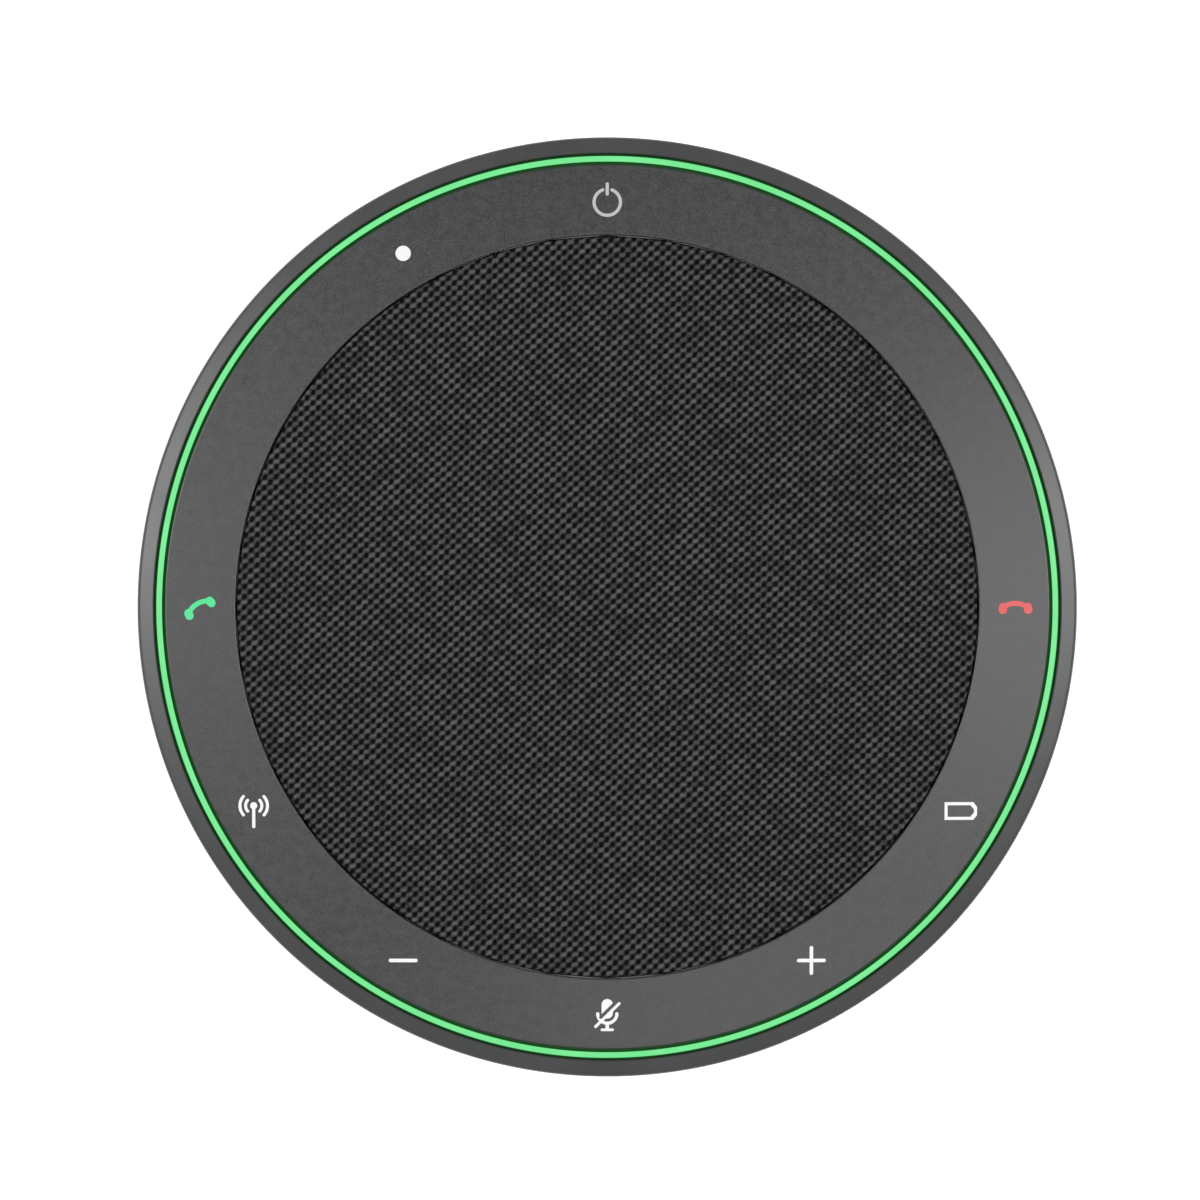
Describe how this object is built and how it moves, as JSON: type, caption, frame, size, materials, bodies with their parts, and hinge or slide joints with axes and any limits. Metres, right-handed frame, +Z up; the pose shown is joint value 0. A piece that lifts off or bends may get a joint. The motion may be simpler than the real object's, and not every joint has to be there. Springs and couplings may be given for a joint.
{
  "type": "conference speakerphone",
  "caption": "Round tabletop speakerphone with a domed fabric grille, a ring of sprung keys, a lit green ring and a narrower foot with a channel for its lead.",
  "frame": {"origin": "centre of the footprint, on the surface that it stands on", "axes": "+Z up, +Y towards the rear, where the power key and the lead's grommet are, and +X towards the hang-up key"},
  "size_m": [0.1324, 0.1324, 0.0338],
  "materials": {
    "housing_plastic": "fine spark-eroded texture",
    "rim_plastic": "fine satin",
    "panel_plastic": "fine-grained soft-touch coating",
    "light_guide": "translucent, lit green",
    "grille_fabric": "plain weave of thick black yarn",
    "grille_plastic": "moulded",
    "frame_plastic": "moulded",
    "key_plastic": "translucent moulded",
    "switch_silicone": "moulded silicone",
    "board_laminate": "green solder mask",
    "microphone_metal": "gold-plated can",
    "chassis_plastic": "moulded",
    "motor_steel": "zinc-plated",
    "magnet_ferrite": "ground ferrite",
    "basket_steel": "black paint",
    "coil_copper": "enamelled copper wire",
    "cone_paper": "pressed pulp",
    "surround_rubber": "moulded",
    "spider_cloth": "resin-dipped cloth",
    "gasket_foam": "foam",
    "foot_plastic": "fine spark-eroded texture",
    "foot_rubber": "moulded, matt",
    "gland_rubber": "moulded, matt",
    "screw_steel": "black zinc",
    "battery_wrap": "shrink wrap",
    "shield_tin": "tin-plated",
    "connector_nylon": "moulded nylon",
    "sign_white": "lit from behind, white",
    "sign_green": "lit from behind, green",
    "sign_red": "lit from behind, red"
  },
  "bodies": {
    "housing": {"base_shell": "housing_plastic", "top_rim": "rim_plastic", "key_overlay": "panel_plastic", "light_ring": "light_guide", "grille_fabric": "grille_fabric", "grille_plate": "grille_plastic", "key_frame": "frame_plastic", "switch_dome_hang_up": "switch_silicone", "switch_dome_power": "switch_silicone", "switch_dome_custom": "switch_silicone", "switch_dome_answer": "switch_silicone", "switch_dome_wireless": "switch_silicone", "switch_dome_volume_down": "switch_silicone", "switch_dome_mute": "switch_silicone", "switch_dome_volume_up": "switch_silicone", "switch_dome_battery": "switch_silicone", "ring_board": "board_laminate", "main_board": "board_laminate", "microphone_rear_right": "microphone_metal", "microphone_rear_left": "microphone_metal", "microphone_front_left": "microphone_metal", "microphone_front_right": "microphone_metal", "upper_chassis": "chassis_plastic", "speaker_chamber": "chassis_plastic", "speaker_yoke": "motor_steel", "speaker_top_plate": "motor_steel", "speaker_magnet": "magnet_ferrite", "speaker_basket": "basket_steel", "cone_surround": "surround_rubber", "spider": "spider_cloth", "speaker_gasket": "gasket_foam", "battery_pad": "gasket_foam", "foot_plate": "foot_plastic", "cable_spool": "foot_plastic", "foot_ring": "foot_rubber", "cable_gland": "gland_rubber", "base_screw_1": "screw_steel", "base_screw_2": "screw_steel", "base_screw_3": "screw_steel", "base_screw_4": "screw_steel", "battery_pack": "battery_wrap", "shield_can": "shield_tin", "lead_connector": "connector_nylon"},
    "cone_assembly": {"speaker_cone": "cone_paper", "dust_cap": "cone_paper", "voice_coil": "coil_copper"},
    "hang_up_key": {"key_hang_up": "key_plastic"},
    "power_key": {"key_power": "key_plastic"},
    "custom_key": {"key_custom": "key_plastic"},
    "answer_key": {"key_answer": "key_plastic"},
    "wireless_key": {"key_wireless": "key_plastic"},
    "volume_down_key": {"key_volume_down": "key_plastic"},
    "mute_key": {"key_mute": "key_plastic"},
    "volume_up_key": {"key_volume_up": "key_plastic"},
    "battery_key": {"key_battery": "key_plastic"}
  },
  "joints": [
    {"name": "hang_up_press", "type": "slide", "parent": "housing", "child": "hang_up_key", "axis": [0, 0, -1], "range_m": [0, 0.0005], "stiffness_N_per_m": 2000, "deforming": ["switch_dome_hang_up"]},
    {"name": "power_press", "type": "slide", "parent": "housing", "child": "power_key", "axis": [0, 0, -1], "range_m": [0, 0.0005], "stiffness_N_per_m": 2000, "deforming": ["switch_dome_power"]},
    {"name": "custom_press", "type": "slide", "parent": "housing", "child": "custom_key", "axis": [0, 0, -1], "range_m": [0, 0.0005], "stiffness_N_per_m": 2000, "deforming": ["switch_dome_custom"]},
    {"name": "answer_press", "type": "slide", "parent": "housing", "child": "answer_key", "axis": [0, 0, -1], "range_m": [0, 0.0005], "stiffness_N_per_m": 2000, "deforming": ["switch_dome_answer"]},
    {"name": "wireless_press", "type": "slide", "parent": "housing", "child": "wireless_key", "axis": [0, 0, -1], "range_m": [0, 0.0005], "stiffness_N_per_m": 2000, "deforming": ["switch_dome_wireless"]},
    {"name": "volume_down_press", "type": "slide", "parent": "housing", "child": "volume_down_key", "axis": [0, 0, -1], "range_m": [0, 0.0005], "stiffness_N_per_m": 2000, "deforming": ["switch_dome_volume_down"]},
    {"name": "mute_press", "type": "slide", "parent": "housing", "child": "mute_key", "axis": [0, 0, -1], "range_m": [0, 0.0005], "stiffness_N_per_m": 2000, "deforming": ["switch_dome_mute"]},
    {"name": "volume_up_press", "type": "slide", "parent": "housing", "child": "volume_up_key", "axis": [0, 0, -1], "range_m": [0, 0.0005], "stiffness_N_per_m": 2000, "deforming": ["switch_dome_volume_up"]},
    {"name": "battery_press", "type": "slide", "parent": "housing", "child": "battery_key", "axis": [0, 0, -1], "range_m": [0, 0.0005], "stiffness_N_per_m": 2000, "deforming": ["switch_dome_battery"]},
    {"name": "cone_travel", "type": "slide", "parent": "housing", "child": "cone_assembly", "axis": [0, 0, 1], "range_m": [-0.0012, 0.0012], "stiffness_N_per_m": 1200, "deforming": ["cone_surround", "spider"]}
  ]
}
